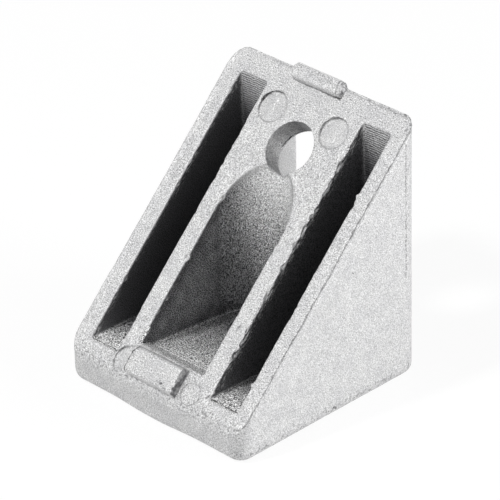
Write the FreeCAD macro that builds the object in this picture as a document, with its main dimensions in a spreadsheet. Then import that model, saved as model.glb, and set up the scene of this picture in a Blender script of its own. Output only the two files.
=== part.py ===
import FreeCAD, Part
import math
import os

import Sketcher

# Corner bracket for slotted framing: one die-cast aluminium piece. A thick bottom flange and a
# thin back flange are joined by two side walls and two inner ribs, all cut off by one slanted
# face. The origin is the centre of the bolt hole on the underside. X runs across the bracket,
# Y towards the back flange and Z up. Lengths are in millimetres.

doc = FreeCAD.newDocument("cornerBracket")
sheet = doc.addObject("Spreadsheet::Sheet", "Sizes")

SIZES = [
    # outside
    ("castWidth", 38.4, "across the bracket"),
    ("legDepth", 38.9, "front face to back face"),
    ("backHeight", 44.35, "underside to the slanted face at the back"),
    ("noseHeight", 5.2, "underside to the slanted face at the front"),
    ("edgeRound", 2.6, "radius of the upright edges"),
    ("noseRound", 2.0, "radius between the front face and the slanted face"),
    ("soleRound", 2.0, "radius round the underside"),
    # walls
    ("sideWall", 3.1, "outer side wall"),
    ("ribWall", 3.2, "rib between a side pocket and the middle one"),
    ("bottomFlange", 7.4, "side pocket floor above the underside"),
    ("backFlange", 2.95, "side pocket back wall"),
    ("pocketRound", 0.5, "radius in the upright corners of a side pocket"),
    # middle pocket
    ("headClear", 14.0, "width of the middle pocket, clear of a bolt head"),
    ("headCentre", 17.65, "back face to the middle of the round end"),
    ("seatHeight", 6.95, "pocket floor under the bolt head"),
    ("kneeHeight", 8.1, "pocket floor where the front ramp meets it"),
    ("lipFront", 4.25, "front face to the front edge of the pocket"),
    ("rampRun", 2.55, "that edge to the knee, front to back"),
    # holes
    ("boltHole", 8.6, "bolt hole through the bottom flange"),
    ("boltBack", 16.7, "back face to the bolt hole"),
    ("slantHole", 8.6, "hole square to the slanted face"),
    ("slantHoleUp", 43.2, "that hole, up the slanted face from its lower edge"),
    # recess behind the slanted face
    ("slantPlate", 4.2, "thickness of the slanted plate round its hole"),
    ("recessDepth", 8.3, "depth of the recess in the back face"),
    # tabs
    ("tabLength", 10.0, "length across the bracket"),
    ("tabRise", 1.4, "height above the slanted face"),
    ("tabShift", 0.7, "off the middle, to the left"),
    ("tabRound", 0.45, "radius along a tab's outer edges"),
    ("tabRoot", 1.2, "depth of a tab's root below the slanted face"),
    ("lowTabStart", 1.0, "lower tab, from the lower edge up the slanted face"),
    ("lowTabReach", 4.6, "lower tab, up the slanted face"),
    ("topTabStart", 2.05, "upper tab, from the top corner down the slanted face"),
    ("topTabCrest", 0.65, "upper tab, past the top corner"),
    # ejector marks
    ("markSize", 5.2, "round mark left by an ejector pin"),
    ("markDepth", 0.25, "depth of a mark"),
    ("markShift", 0.4, "marks off the middle, to the left"),
    ("topMarkApart", 13.1, "between the two upper marks"),
    ("topMarkDown", 7.25, "upper marks, from the top corner down the slanted face"),
    ("lowMarkApart", 14.0, "between the two lower marks"),
    ("lowMarkUp", 2.6, "lower marks, up the slanted face"),
]

for row, (alias, value, note) in enumerate(SIZES, start=1):
    sheet.set("A%d" % row, note)
    sheet.set("B%d" % row, str(value))
    sheet.setAlias("B%d" % row, alias)
doc.recompute()

body = doc.addObject("PartDesign::Body", "Casting")
body.Label = "bracket_casting"

# The slanted face rises from the top of the front face to the top of the back face.
FRONT = "(Sizes.boltBack - Sizes.legDepth)"
BACK = "Sizes.boltBack"
RISE = "(Sizes.backHeight - Sizes.noseHeight)"
SLOPE = "atan2(%s; Sizes.legDepth)" % RISE
SLANT = "sqrt(%s^2 + Sizes.legDepth^2)" % RISE


def number(expression):
    """Value of an expression over the sheet."""
    value = body.evalExpression(expression)
    return float(getattr(value, "Value", value))


def slant_height(y):
    """Expression for the slanted face's height at an expression for Y."""
    return "(Sizes.noseHeight + (%s - %s) * tan(%s))" % (y, FRONT, SLOPE)


def slant_point(along, lift):
    """Expressions for Y and Z of a point up the slanted face and above it."""
    y = "%s + (%s) * cos(%s) - (%s) * sin(%s)" % (FRONT, along, SLOPE, lift, SLOPE)
    z = "Sizes.noseHeight + (%s) * sin(%s) + (%s) * cos(%s)" % (along, SLOPE, lift, SLOPE)
    return y, z


def new_sketch(name, role, offset="0"):
    """Sketch on one of the body's origin planes, moved along the plane's normal."""
    sketch = body.newObject("Sketcher::SketchObject", name)
    for plane in body.Origin.OriginFeatures:
        if plane.Role == role:
            sketch.AttachmentSupport = [(plane, "")]
    sketch.MapMode = "FlatFace"
    sketch.setExpression("AttachmentOffset.Base.z", offset)
    return sketch


def new_slanted_sketch(name):
    """Sketch on the slanted face: X across, Y up the slope from its lower edge."""
    sketch = new_sketch(name, "XY_Plane", "Sizes.noseHeight")
    tilt = FreeCAD.Rotation(FreeCAD.Vector(1, 0, 0), number(SLOPE))
    sketch.AttachmentOffset = FreeCAD.Placement(FreeCAD.Vector(0, 0, 0), tilt)
    sketch.setExpression("AttachmentOffset.Base.y", FRONT)
    sketch.setExpression("AttachmentOffset.Rotation.Angle", SLOPE)
    return sketch


def place(sketch, geometry, end, x=None, y=None):
    """Tie a point of the sketch to expressions measured from the sketch's origin."""
    for kind, axis, expression in (("DistanceX", -2, x), ("DistanceY", -1, y)):
        if expression is None:
            continue
        if expression == "0":
            sketch.addConstraint(Sketcher.Constraint("PointOnObject", geometry, end, axis))
            continue
        value = number(expression)
        index = sketch.addConstraint(Sketcher.Constraint(kind, -1, 1, geometry, end, value))
        sketch.setExpression("Constraints[%d]" % index, expression)


def polygon(sketch, corners):
    """Closed outline of straight lines through corners given as expressions."""
    points = [FreeCAD.Vector(number(x), number(y), 0) for x, y in corners]
    for index, point in enumerate(points):
        sketch.addGeometry(Part.LineSegment(point, points[(index + 1) % len(points)]))
    for index, (x, y) in enumerate(corners):
        following = (index + 1) % len(points)
        sketch.addConstraint(Sketcher.Constraint("Coincident", index, 2, following, 1))
        place(sketch, index, 1, x, y)


def rounded_box(sketch, left, right, low, high, radius):
    """Upright rectangle with rounded corners, numbered from the lower left, anticlockwise."""
    x0, x1, y0, y1, size = [number(v) for v in (left, right, low, high, radius)]
    corners = [FreeCAD.Vector(x, y, 0) for x, y in ((x0, y0), (x1, y0), (x1, y1), (x0, y1))]
    along = [FreeCAD.Vector(x, y, 0) for x, y in ((1, 0), (0, 1), (-1, 0), (0, -1))]
    first = sketch.GeometryCount
    for side in range(4):
        start = corners[side] + along[side] * size
        finish = corners[(side + 1) % 4] - along[side] * size
        sketch.addGeometry(Part.LineSegment(start, finish))
        sketch.addConstraint(Sketcher.Constraint(("Horizontal", "Vertical")[side % 2], first + side))
    arcs = []
    for corner in range(4):
        before, after = first + (corner - 1) % 4, first + corner
        centre = corners[corner] + (along[corner] - along[(corner - 1) % 4]) * size
        circle = Part.Circle(centre, FreeCAD.Vector(0, 0, 1), size)
        turn = math.pi * (1 + corner / 2)
        arc = sketch.addGeometry(Part.ArcOfCircle(circle, turn, turn + math.pi / 2))
        sketch.addConstraint(Sketcher.Constraint("Tangent", before, 2, arc, 1))
        sketch.addConstraint(Sketcher.Constraint("Tangent", arc, 2, after, 1))
        arcs.append(arc)
    for arc in arcs[1:]:
        sketch.addConstraint(Sketcher.Constraint("Equal", arcs[0], arc))
    index = sketch.addConstraint(Sketcher.Constraint("Radius", arcs[0], size))
    sketch.setExpression("Constraints[%d]" % index, radius)
    place(sketch, first, 1, y=low)
    place(sketch, first + 1, 1, x=right)
    place(sketch, first + 2, 1, y=high)
    place(sketch, first + 3, 1, x=left)


def slanted_cut(sketch):
    """Outline of what lies above the slanted face, with an arc at the front face."""
    front, back, high, nose, size = [number(v) for v in (
        FRONT, BACK, "Sizes.backHeight", "Sizes.noseHeight", "Sizes.noseRound")]
    slope = math.radians(number(SLOPE))
    reach = size * math.tan(math.pi / 4 - slope / 2)
    low = FreeCAD.Vector(front, nose - reach, 0)
    foot = FreeCAD.Vector(front + reach * math.cos(slope), nose + reach * math.sin(slope), 0)
    corner, top = FreeCAD.Vector(front, high, 0), FreeCAD.Vector(back, high, 0)
    circle = Part.Circle(low + FreeCAD.Vector(size, 0, 0), FreeCAD.Vector(0, 0, 1), size)
    slanted = sketch.addGeometry(Part.LineSegment(foot, top))
    over = sketch.addGeometry(Part.LineSegment(top, corner))
    down = sketch.addGeometry(Part.LineSegment(corner, low))
    arc = sketch.addGeometry(Part.ArcOfCircle(circle, math.pi / 2 + slope, math.pi))
    sketch.addConstraint(Sketcher.Constraint("Coincident", slanted, 2, over, 1))
    sketch.addConstraint(Sketcher.Constraint("Coincident", over, 2, down, 1))
    sketch.addConstraint(Sketcher.Constraint("Tangent", down, 2, arc, 2))
    sketch.addConstraint(Sketcher.Constraint("Tangent", slanted, 1, arc, 1))
    index = sketch.addConstraint(Sketcher.Constraint("Radius", arc, size))
    sketch.setExpression("Constraints[%d]" % index, "Sizes.noseRound")
    place(sketch, slanted, 2, BACK, "Sizes.backHeight")
    place(sketch, down, 1, FRONT, "Sizes.backHeight")
    sketch.addConstraint(Sketcher.Constraint("Vertical", down))
    mark = sketch.addGeometry(Part.Point(FreeCAD.Vector(front, nose, 0)), True)
    place(sketch, mark, 1, FRONT, "Sizes.noseHeight")
    sketch.addConstraint(Sketcher.Constraint("PointOnObject", mark, 1, slanted))


def half_disc(sketch, centre, radius):
    """Half disc on the sketch's upright axis, its round side up."""
    y, size = number(centre), number(radius)
    middle = FreeCAD.Vector(0, y, 0)
    circle = Part.Circle(middle, FreeCAD.Vector(0, 0, 1), size)
    arc = sketch.addGeometry(Part.ArcOfCircle(circle, 0, math.pi))
    line = sketch.addGeometry(
        Part.LineSegment(FreeCAD.Vector(-size, y, 0), FreeCAD.Vector(size, y, 0)))
    sketch.addConstraint(Sketcher.Constraint("Coincident", arc, 2, line, 1))
    sketch.addConstraint(Sketcher.Constraint("Coincident", arc, 1, line, 2))
    sketch.addConstraint(Sketcher.Constraint("Horizontal", line))
    place(sketch, arc, 3, "0", centre)
    sketch.addConstraint(Sketcher.Constraint("PointOnObject", arc, 3, line))
    index = sketch.addConstraint(Sketcher.Constraint("Radius", arc, size))
    sketch.setExpression("Constraints[%d]" % index, radius)


def disc(sketch, x, y, diameter):
    """Circle about a centre given as expressions."""
    centre = FreeCAD.Vector(number(x), number(y), 0)
    round_edge = Part.Circle(centre, FreeCAD.Vector(0, 0, 1), number(diameter) / 2)
    index = sketch.addGeometry(round_edge)
    place(sketch, index, 3, x, y)
    size = sketch.addConstraint(Sketcher.Constraint("Diameter", index, number(diameter)))
    sketch.setExpression("Constraints[%d]" % size, diameter)


def finish_feature(feature, grows):
    """Recompute and make sure that the feature changed the casting's volume."""
    before = feature.BaseFeature.Shape.Volume if feature.BaseFeature else 0.0
    doc.recompute()
    change = feature.Shape.Volume - before
    if (change > 0) != grows or abs(change) < 1e-3:
        raise RuntimeError("%s changed the volume by %.4f" % (feature.Name, change))
    return feature


def pad(name, sketch, length, side="One side", backwards=False):
    feature = body.newObject("PartDesign::Pad", name)
    feature.Profile = sketch
    feature.SideType = side
    feature.Reversed = backwards
    feature.setExpression("Length", length)
    return finish_feature(feature, True)


def pocket(name, sketch, length=None, side="One side", backwards=False):
    """Cut by a length, or through everything where no length is given."""
    feature = body.newObject("PartDesign::Pocket", name)
    feature.Profile = sketch
    feature.SideType = side
    feature.Reversed = backwards
    if length is None:
        feature.Type = "ThroughAll"
    else:
        feature.setExpression("Length", length)
    return finish_feature(feature, False)


def fillet(name, base, radius, wanted):
    """Round the edges of a feature that the test picks."""
    picked = ["Edge%d" % n for n, edge in enumerate(base.Shape.Edges, start=1) if wanted(edge)]
    if not picked:
        raise RuntimeError("no edge for " + name)
    feature = body.newObject("PartDesign::Fillet", name)
    feature.Base = (base, picked)
    feature.setExpression("Radius", radius)
    before = base.Shape.Volume
    doc.recompute()
    if abs(feature.Shape.Volume - before) < 1e-3:
        raise RuntimeError(name + " rounded nothing")
    return feature


def near(value, target):
    return abs(value - target) < 1e-4


# Outer block: the plan with its rounded corners, up to the top of the back face.
sketch = new_sketch("BlockPlan", "XY_Plane")
rounded_box(sketch, "-Sizes.castWidth / 2", "Sizes.castWidth / 2", FRONT, BACK,
            "Sizes.edgeRound")
block = pad("Block", sketch, "Sizes.backHeight")

# Slanted face, rounded where it meets the front face.
sketch = new_sketch("SlantedCut", "YZ_Plane")
slanted_cut(sketch)
block = pocket("SlantedFace", sketch, side="Symmetric")
block = fillet("Sole", block, "Sizes.soleRound",
               lambda edge: all(near(v.Z, 0) for v in edge.Vertexes))

# Two side pockets, open on the slanted face, down to the bottom flange.
sketch = new_sketch("SidePocketPlan", "XY_Plane", "Sizes.bottomFlange")
INNER = "(Sizes.headClear / 2 + Sizes.ribWall)"
OUTER = "(Sizes.castWidth / 2 - Sizes.sideWall)"
for left, right in ((INNER, OUTER), ("-" + OUTER, "-" + INNER)):
    rounded_box(sketch, left, right, FRONT, BACK + " - Sizes.backFlange", "Sizes.pocketRound")
pocket("SidePockets", sketch, "Sizes.backHeight", backwards=True)

# Middle pocket: a floor that falls gently from the front lip, and a round end behind the bolt.
HEAD = "(%s - Sizes.headCentre)" % BACK
LIP = "(%s + Sizes.lipFront)" % FRONT
KNEE = "(%s + Sizes.rampRun)" % LIP
sketch = new_sketch("MiddlePocketSide", "YZ_Plane")
polygon(sketch, [(LIP, slant_height(LIP)), (KNEE, "Sizes.kneeHeight"),
                 (HEAD, "Sizes.seatHeight"), (HEAD, "Sizes.backHeight"),
                 (LIP, "Sizes.backHeight")])
pocket("MiddlePocket", sketch, "Sizes.headClear", side="Symmetric")
sketch = new_sketch("RoundEndPlan", "XY_Plane", "Sizes.seatHeight")
half_disc(sketch, HEAD, "Sizes.headClear / 2")
pocket("RoundEnd", sketch, "Sizes.backHeight", backwards=True)

# Recess in the back face, under a slanted plate of even thickness.
PLATE_DROP = "Sizes.slantPlate / cos(%s)" % SLOPE
DEEP = "(%s - Sizes.recessDepth)" % BACK
sketch = new_sketch("RecessSide", "YZ_Plane")
polygon(sketch, [(BACK, "Sizes.bottomFlange"), (BACK, slant_height(BACK) + " - " + PLATE_DROP),
                 (DEEP, slant_height(DEEP) + " - " + PLATE_DROP), (DEEP, "Sizes.bottomFlange")])
pocket("BackRecess", sketch, "Sizes.headClear", side="Symmetric")

# Bolt hole through the bottom flange, and the hole square to the slanted face.
sketch = new_sketch("BoltHolePlan", "XY_Plane")
disc(sketch, "0", "0", "Sizes.boltHole")
pocket("BoltHole", sketch, "Sizes.kneeHeight", backwards=True)
sketch = new_slanted_sketch("SlantHolePlan")
disc(sketch, "0", "Sizes.slantHoleUp", "Sizes.slantHole")
pocket("SlantHole", sketch)

# Shallow round marks of the ejector pins.
sketch = new_slanted_sketch("EjectorMarkPlan")
for apart, up in (("Sizes.topMarkApart", SLANT + " - Sizes.topMarkDown"),
                  ("Sizes.lowMarkApart", "Sizes.lowMarkUp")):
    for side in ("-", ""):
        disc(sketch, "%s%s / 2 - Sizes.markShift" % (side, apart), up, "Sizes.markSize")
pocket("EjectorMarks", sketch, "Sizes.markDepth")

# Tabs on the lower and upper edge of the slanted face. The upper one stays inside the back face.
START = "Sizes.lowTabStart"
REACH = "(Sizes.lowTabStart + Sizes.lowTabReach)"
sketch = new_sketch("LowTabSide", "YZ_Plane", "-Sizes.tabShift")
polygon(sketch, [slant_point(START, "-Sizes.tabRoot"), slant_point(START, "Sizes.tabRise"),
                 slant_point(REACH, "Sizes.tabRise"), slant_point(REACH, "-Sizes.tabRoot")])
low_tab = pad("LowTab", sketch, "Sizes.tabLength", side="Symmetric")

START = "(%s - Sizes.topTabStart)" % SLANT
CREST = "(%s + Sizes.topTabCrest)" % SLANT
sketch = new_sketch("TopTabSide", "YZ_Plane", "-Sizes.tabShift")
crest_y, crest_z = slant_point(CREST, "Sizes.tabRise")
polygon(sketch, [slant_point(START, "-Sizes.tabRoot"), slant_point(START, "Sizes.tabRise"),
                 (crest_y, crest_z),
                 (BACK, "%s - (%s - (%s)) / tan(%s)" % (crest_z, BACK, crest_y, SLOPE)),
                 (BACK, "Sizes.backHeight - 2 * Sizes.tabRoot")])
top_tab = pad("TopTab", sketch, "Sizes.tabLength", side="Symmetric")

slope = math.radians(number(SLOPE))
slant_foot = FreeCAD.Vector(0, number(FRONT), number("Sizes.noseHeight"))
slant_normal = FreeCAD.Vector(0, -math.sin(slope), math.cos(slope))


def is_tab_rim(edge):
    """Edges of the tabs' outer faces, apart from the crest's end at the back face."""
    lifts = [(vertex.Point - slant_foot).dot(slant_normal) for vertex in edge.Vertexes]
    return len(lifts) == 2 and all(near(lift, number("Sizes.tabRise")) for lift in lifts)


fillet("TabRims", top_tab, "Sizes.tabRound", is_tab_rim)
doc.recompute()

for feature in doc.Objects:
    if "Invalid" in feature.State or "Error" in feature.State:
        raise RuntimeError("failed object: " + feature.Name)
if body.Shape.isNull() or not body.Shape.isValid() or len(body.Shape.Solids) != 1:
    raise RuntimeError("the casting isn't one valid solid")

os.makedirs("parts", exist_ok=True)
body.Shape.exportStep("parts/%s.step" % body.Label)
box = body.Shape.BoundBox
print("casting: %.2f x %.2f x %.2f mm, volume %.0f mm3" % (
    box.XLength, box.YLength, box.ZLength, body.Shape.Volume))
print("Y %.2f to %.2f, Z %.2f to %.2f" % (box.YMin, box.YMax, box.ZMin, box.ZMax))
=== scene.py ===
import itertools
import math

import bmesh
import bpy
import numpy as np
from mathutils import Matrix, Vector


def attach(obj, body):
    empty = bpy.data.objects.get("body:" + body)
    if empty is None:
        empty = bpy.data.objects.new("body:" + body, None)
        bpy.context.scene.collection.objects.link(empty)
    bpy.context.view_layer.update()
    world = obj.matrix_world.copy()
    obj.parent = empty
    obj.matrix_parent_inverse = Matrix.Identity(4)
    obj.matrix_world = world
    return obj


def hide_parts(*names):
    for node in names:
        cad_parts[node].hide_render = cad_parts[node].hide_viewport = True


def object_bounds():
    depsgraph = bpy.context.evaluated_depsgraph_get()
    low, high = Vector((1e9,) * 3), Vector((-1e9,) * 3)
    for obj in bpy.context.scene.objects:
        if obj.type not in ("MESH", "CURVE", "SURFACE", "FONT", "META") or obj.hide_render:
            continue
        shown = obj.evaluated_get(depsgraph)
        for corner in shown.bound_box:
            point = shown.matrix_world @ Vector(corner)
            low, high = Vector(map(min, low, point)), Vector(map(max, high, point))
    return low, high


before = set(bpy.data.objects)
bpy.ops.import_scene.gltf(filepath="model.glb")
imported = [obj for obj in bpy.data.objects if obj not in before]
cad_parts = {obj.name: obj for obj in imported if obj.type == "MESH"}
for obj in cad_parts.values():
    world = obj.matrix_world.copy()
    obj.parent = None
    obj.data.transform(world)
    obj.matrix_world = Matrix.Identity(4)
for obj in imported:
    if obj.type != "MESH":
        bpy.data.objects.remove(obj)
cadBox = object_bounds()
mm = 0.001
print("frame loaded")


# Small helpers
def linearColour(hexText):
    # sRGB hex to the linear values that Blender's sockets take
    parts = [int(hexText[i:i + 2], 16) / 255 for i in (1, 3, 5)]
    linear = [p / 12.92 if p <= 0.04045 else ((p + 0.055) / 1.055) ** 2.4 for p in parts]
    return (*linear, 1.0)


def addNode(tree, kind, settings):
    # settings: attribute or socket to its value, or socket to the output that feeds it
    node = tree.nodes.new(kind)
    for name, value in settings.items():
        if isinstance(value, bpy.types.NodeSocket):
            tree.links.new(value, node.inputs[name])
        elif isinstance(name, str) and hasattr(node, name):
            setattr(node, name, value)
        else:
            node.inputs[name].default_value = value
    return node


def newMaterial(name):
    material = bpy.data.materials.new(name)
    material.use_nodes = True
    material.node_tree.nodes.clear()
    return material, material.node_tree


# Camera, from the photograph's perspective. Lengths in millimetres, angles in degrees.
camera = {
    "azimuth": 46.294,
    "elevation": 29.792,
    "roll": -1.543,
    "distance": 555.9,
    "target": (-0.37, -2.78, 19.18),
    "lens": 260.3,
    "sensor": 36.0,
    "shift": (0.0221, 0.0337),
    "clip": (10, 20000),
}


def buildCamera(sizes):
    turn, lift, roll = [math.radians(sizes[k]) for k in ("azimuth", "elevation", "roll")]
    level = math.cos(lift)
    back = Vector((math.sin(turn) * level, -math.cos(turn) * level, math.sin(lift)))
    right = Vector((math.cos(turn), math.sin(turn), 0))
    up = back.cross(right)
    sideways = right * math.cos(roll) + up * math.sin(roll)
    upright = up * math.cos(roll) - right * math.sin(roll)
    data = bpy.data.cameras.new("camera")
    data.lens = sizes["lens"]
    data.sensor_width = sizes["sensor"]
    data.shift_x, data.shift_y = sizes["shift"]
    data.clip_start, data.clip_end = [length * mm for length in sizes["clip"]]
    holder = bpy.data.objects.new("camera", data)
    axes = Matrix((sideways, upright, back)).transposed()
    holder.matrix_world = axes.to_4x4()
    holder.location = (Vector(sizes["target"]) + back * sizes["distance"]) * mm
    bpy.context.scene.collection.objects.link(holder)
    bpy.context.scene.camera = holder


buildCamera(camera)
print("camera placed")

# Lights: a small lamp high in front, which throws the ribs' shadows into the pockets, one from
# behind on the right that only the right side wall sees, and a low broad one in front.
# Places and sizes in millimetres, power in watts.
lamps = {
    "key": {"place": (-170, -510, 655), "size": 90, "power": 2.8},
    "side": {"place": (620, 300, 120), "size": 420, "power": 4.8},
    "front": {"place": (-200, -700, 160), "size": 420, "power": 0.75},
}
studio = {
    "aim": (0, 0, 20),
    "worldLevel": 0.35,
    "floorReach": 3000,
    "floorColour": "#ffffff",
    "floorGlow": 0.88,
    "floorShadow": 0.15,
}


def seenRays(tree):
    # 1 for what the camera sees itself, in metal or through glass, and 0 for other light
    path = addNode(tree, "ShaderNodeLightPath", {})
    total = path.outputs["Is Camera Ray"]
    for ray in ("Is Glossy Ray", "Is Transmission Ray"):
        total = addNode(tree, "ShaderNodeMath",
                        {"operation": "MAXIMUM", 0: total, 1: path.outputs[ray]}).outputs[0]
    return total


def buildLights():
    for name, lamp in lamps.items():
        data = bpy.data.lights.new(name, "AREA")
        data.size = lamp["size"] * mm
        data.energy = lamp["power"]
        holder = bpy.data.objects.new(name, data)
        place = Vector(lamp["place"]) * mm
        holder.location = place
        aim = Vector(studio["aim"]) * mm - place
        holder.rotation_euler = aim.to_track_quat("-Z", "Y").to_euler()
        bpy.context.scene.collection.objects.link(holder)
    world = bpy.data.worlds.new("studio")
    bpy.context.scene.world = world
    world.use_nodes = True
    tree = world.node_tree
    tree.nodes.clear()
    light = addNode(tree, "ShaderNodeBackground",
                    {"Color": (1, 1, 1, 1), "Strength": studio["worldLevel"]})
    white = addNode(tree, "ShaderNodeBackground", {"Color": (1, 1, 1, 1), "Strength": 1.0})
    mix = addNode(tree, "ShaderNodeMixShader",
                  {0: seenRays(tree), 1: light.outputs[0], 2: white.outputs[0]})
    addNode(tree, "ShaderNodeOutputWorld", {"Surface": mix.outputs[0]})


def buildFloor():
    mesh = bpy.data.meshes.new("floor")
    shape = bmesh.new()
    reach = studio["floorReach"] * mm
    bmesh.ops.create_grid(shape, x_segments=1, y_segments=1, size=reach)
    shape.to_mesh(mesh)
    shape.free()
    floor = bpy.data.objects.new("floor", mesh)
    bpy.context.scene.collection.objects.link(floor)
    material, tree = newMaterial("paleFloor")
    # what the camera sees is nearly white by itself and keeps a faint shadow
    paper = addNode(tree, "ShaderNodeBsdfDiffuse", {"Color": linearColour(studio["floorColour"])})
    glow = addNode(tree, "ShaderNodeEmission",
                   {"Color": (1, 1, 1, 1), "Strength": studio["floorGlow"]})
    dim = addNode(tree, "ShaderNodeBsdfDiffuse", {"Color": (*[studio["floorShadow"]] * 3, 1)})
    seen = addNode(tree, "ShaderNodeAddShader", {0: glow.outputs[0], 1: dim.outputs[0]})
    mix = addNode(tree, "ShaderNodeMixShader",
                  {0: seenRays(tree), 1: paper.outputs[0], 2: seen.outputs[0]})
    addNode(tree, "ShaderNodeOutputMaterial", {"Surface": mix.outputs[0]})
    mesh.materials.append(material)


buildLights()
buildFloor()
bpy.context.scene.view_settings.view_transform = "Standard"
print("lights and floor set")

# The casting's main places in millimetres, as the solid has them. The slanted hole and the upper
# tab are given by their distance up the slanted face.
body = {
    "front": -22.2,
    "back": 16.7,
    "nose": 5.2,
    "top": 44.35,
    "half": 19.2,
    "sideWall": 16.1,
    "ribSides": (7.0, 10.2),
    "floor": 7.4,
    "backWall": 13.75,
    "roundEnd": 6.9,
    "recess": (7.3, 16.4),
    "slantHole": 43.2,
    "slantHoleRadius": 4.3,
    "upperTab": 52.5,      # the upper tab lies past this
    "tabReach": 6.5,       # both tabs lie within this of the middle
    "wornReach": 7,        # and their worn ends within this
}
run, rise = body["back"] - body["front"], body["top"] - body["nose"]
slantLength = math.hypot(run, rise)
slantCos, slantSin = run / slantLength, rise / slantLength
slantNormal = np.array([0, -slantSin, slantCos])
slantUp = np.array([0, slantCos, slantSin])
ribMiddle = sum(body["ribSides"]) / 2


def slantPlace(points):
    # distance up the slanted face from its lower edge, and height above it
    y, z = points[:, 1] - body["front"], points[:, 2] - body["nose"]
    return y * slantCos + z * slantSin, z * slantCos - y * slantSin


def lumps(points, size, seed):
    # smooth random field from -1 to 1 with lumps of about that size in millimetres
    cells = 40
    table = np.random.default_rng(seed).random((cells, cells, cells)) * 2 - 1
    places = points / size
    low = np.floor(places).astype(int)
    part = places - low
    part = part * part * (3 - 2 * part)
    total = np.zeros(len(points))
    for corner in itertools.product((0, 1), repeat=3):
        weight = np.prod(np.where(corner, part, 1 - part), axis=1)
        cell = (low + corner) % cells
        total += weight * table[cell[:, 0], cell[:, 1], cell[:, 2]]
    return total


def ramp(values, low, high):
    # 0 below low and 1 above high, with a smooth way between
    part = np.clip((values - low) / (high - low), 0, 1)
    return part * part * (3 - 2 * part)


def between(values, up, down):
    # 1 between a smooth way up and a smooth way down, and 0 outside them
    return ramp(values, *up) * (1 - ramp(values, *down))


def hump(values, middle, width):
    # 1 at the middle, falling to 0 on both sides
    return np.exp(-((values - middle) / width) ** 2)


# The casting's skin: a fine copy of the solid, with soft and uneven edges as a die leaves them.
# Lengths in millimetres.
skin = {
    "grid": 0.15,
    "quickGrid": 0.3,
    "triangles": 185000,
    "soften": 3,         # rounds of smoothing everywhere, in places and on the tabs
    "softenMore": 14,
    "softenTabs": 40,
    "softShare": (0.35, 0.9),   # the second one's share: its mean and how far it varies
    "softSize": 0.9,
    "crisp": {"less": 0.7, "past": 0.4, "depth": 0.8, "upTo": 51},   # the pockets' rims get less
    "tabHeights": (0.1, 0.5),   # from here up the tabs' smoothing sets in
    "slantDepths": (-0.6, -0.25),   # how far below the slanted face its damage goes
    "waves": ((4.0, 0.02), (0.8, 0.007), (0.42, 0.008)),   # size and height of the unevenness
    "floorRough": ((0.6, 0.09), (0.36, 0.08)),
    "middleFloor": 0.3,         # the middle floor's share of that
    "tabEndRough": (0.4, 0.12),
    "floorsAt": (-0.5, 0.7),    # below this height and facing up more than this
    "tabEndsAt": (0.05, 0.5),   # above this height and facing sideways more than this
    "seed": 60,
}
# How far past the walls of a pocket, the recess or the slanted hole a place still counts as in it
spare = {"side": 0.2, "back": 0.6, "floor": 0.9, "recess": 0.5, "hole": 0.25}

# The parting line: the die halves meet on the slanted face, just inside its edge
seam = {
    "halfWidth": 18.78,
    "ends": (0.8, 54.75),
    "corner": 1.8,
    "jog": 0.13,
    "jogSize": 2.6,
    "fadeIn": (-16, -12),
    "step": 0.09,
    "stepWidth": 0.1,
    "groove": 0.07,
    "grooveWidth": 0.13,
    # the line's dark tone is painted shade along the die's step
    "dark": 0.6,
    "darkFrom": (17.0, 18.0),   # across the face, so that only the right side's line is dark
}

# Damage on the slanted face: across, up the face, half length, half width, turn and depth
nicks = (
    (8.43, 14.86, 0.7, 0.2, 74, 0.2),
    (-8.48, 9.55, 0.4, 0.2, 70, 0.16),
    (-8.59, 8.16, 0.32, 0.17, 80, 0.14),
    (9.78, 3.52, 0.55, 0.17, 55, 0.18),
    (-7.41, 21.18, 0.6, 0.25, 75, 0.2),
    (1.7, 1.9, 0.3, 0.2, 20, 0.2),
    (1.2, 2.05, 0.22, 0.18, 90, 0.16),
    (2.6, 1.5, 0.4, 0.2, 10, 0.14),
    (18.1, 52.9, 0.35, 0.25, 40, 0.15),
    (14.7, 54.6, 0.4, 0.16, -10, 0.2),
    (13.1, 54.9, 0.3, 0.15, 0, 0.16),
    (16.5, 54.9, 0.45, 0.18, -15, 0.2),
    (18.3, 53.9, 0.35, 0.18, -60, 0.2),
    (1.55, 1.97, 0.3, 0.2, 40, 0.2),
    (0.7, 2.04, 0.22, 0.16, 10, 0.14),
    (0.98, 0.95, 0.25, 0.2, 60, 0.16),
    (2.8, 1.3, 0.2, 0.18, 0, 0.15),
)
# The pockets' rims: place across the face, 1 or -1 for the side where the pocket lies, how
# ragged the rim is, how much of it is torn, and how far down its wall the flakes reach
rims = (
    (-16.1, 1, 0.13, 0.5, 1.3),
    (-10.2, -1, 0.16, 0.3, 1.3),
    (-7.0, 1, 0.26, 0.4, 1.3),
    (7.0, -1, 0.14, 0.25, 1.3),
    (10.2, 1, 0.4, 1.0, 2.0),
    (16.1, -1, 0.2, 0.4, 1.3),
)
tears = {
    "span": ((4.5, 5.5), (48.0, 49.0)),   # up the face
    "patch": 2.6,          # size of a torn patch
    "patchFrom": (0.45, 0.75),   # where the uneven field turns torn, less the rim's torn share
    "width": 0.36,
    "least": 0.15,         # how much of the damage a whole rim still gets
    "tornSize": 0.4,
    "tornDepth": 0.5,
    "flakeSize": 0.3,
    "stretch": 0.3,        # flakes are longer up the face, by one over this
    "flakeHeights": (-1.0, -0.1),
    "flakeMost": 0.3,      # cuts the tallest flakes
    "flakeShift": 0.2,     # and moves the rim back a little
    "raised": 0.04,        # how high torn metal may stand up, before it is made deeper
    "deeper": 1.3,
    "seeds": (20, 30, 40),   # for torn metal, patches and flakes
    "wallWidth": 0.5,      # where flakes show on the walls below the rims
    "wallTop": -0.4,
    "wallDepths": (0.02, 0.15),
    "wallLeast": 0.35,
}
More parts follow.
